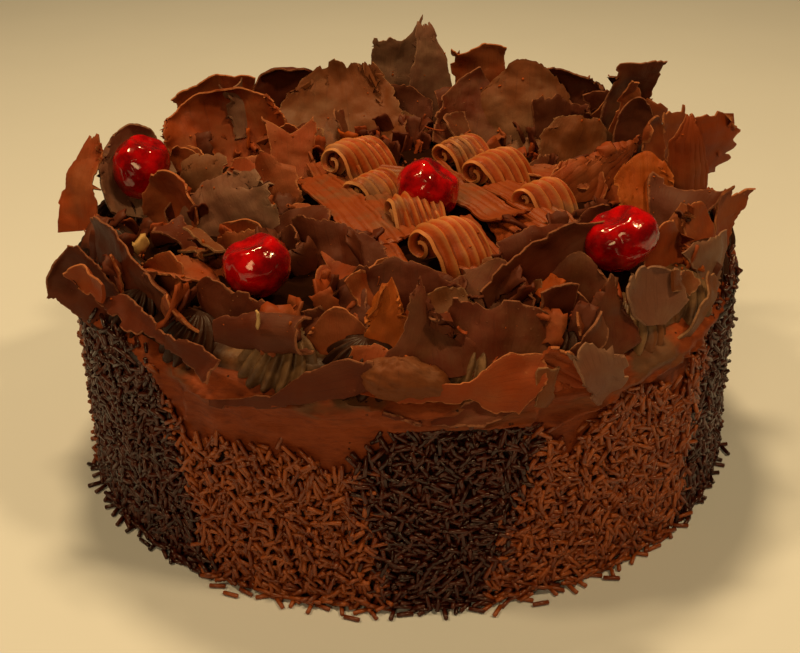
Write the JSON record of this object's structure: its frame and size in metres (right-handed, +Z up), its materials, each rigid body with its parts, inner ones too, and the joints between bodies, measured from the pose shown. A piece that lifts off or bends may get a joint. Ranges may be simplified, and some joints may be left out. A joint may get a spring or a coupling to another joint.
{
  "type": "black forest cake",
  "caption": "Round chocolate cake with a sprinkle-coated side, a piped cream border, combed curls, glazed cherries and a crown of large thin chocolate shavings.",
  "frame": {"origin": "centre of the flat base of the cake", "axes": "+Z up, -Y to the front, +X to the right seen from the front"},
  "size_m": [0.2411, 0.2356, 0.1274],
  "materials": {
    "frosting": "smooth matte chocolate cream with a coat of dark and milk chocolate sprinkles",
    "cream": "soft piped mocha cream, satin",
    "chocolate": "satin shaved dark chocolate with a grey bloom and lighter edges",
    "milk_curl": "combed milk chocolate, satin",
    "cherry": "wet syrup glaze"
  },
  "bodies": {
    "root": {"cake_body": "frosting", "cherry_left": "cherry", "cherry_front": "cherry", "cherry_middle": "cherry", "cherry_right": "cherry", "curl_back_left": "milk_curl", "curl_middle_left": "milk_curl", "curl_middle": "milk_curl", "curl_front": "milk_curl", "curl_back": "milk_curl", "curl_right": "milk_curl", "curl_far_right": "milk_curl", "sash_left": "chocolate", "sash_right": "chocolate", "front_left_peak": "chocolate", "front_right_peak": "chocolate", "front_wide": "chocolate", "front_long": "chocolate", "front_scroll": "chocolate", "dark_long": "chocolate", "under_cherry": "chocolate", "petal_right": "chocolate", "pale_hanging": "chocolate", "ribbed_scoop": "chocolate", "dish": "chocolate", "by_cherry": "chocolate", "grey_corner": "chocolate", "cracked_corner": "chocolate", "twin_prong": "chocolate", "serrated": "chocolate", "ribbed_spike": "chocolate", "lit_ribbed": "chocolate", "hook": "chocolate", "ledge": "chocolate", "streaked_right": "chocolate", "broad_right": "chocolate", "jagged_back": "chocolate", "dark_roll": "chocolate", "back_hill": "chocolate", "fold_right": "chocolate", "fold_left": "chocolate", "back_plate": "chocolate", "grey_side": "chocolate", "grey_spire": "chocolate", "disc": "chocolate", "back_scroll": "chocolate", "left_back": "chocolate", "left_shell": "chocolate", "cherry_cup": "chocolate", "left_sail": "chocolate", "far_left": "chocolate", "long_left": "chocolate", "rim_ribbon": "chocolate", "near_left": "chocolate", "smooth_left": "chocolate", "two_point": "chocolate", "inner_front": "chocolate", "plank_left": "chocolate", "cream_border": "cream", "shaving_bed": "chocolate"}
  },
  "joints": []
}
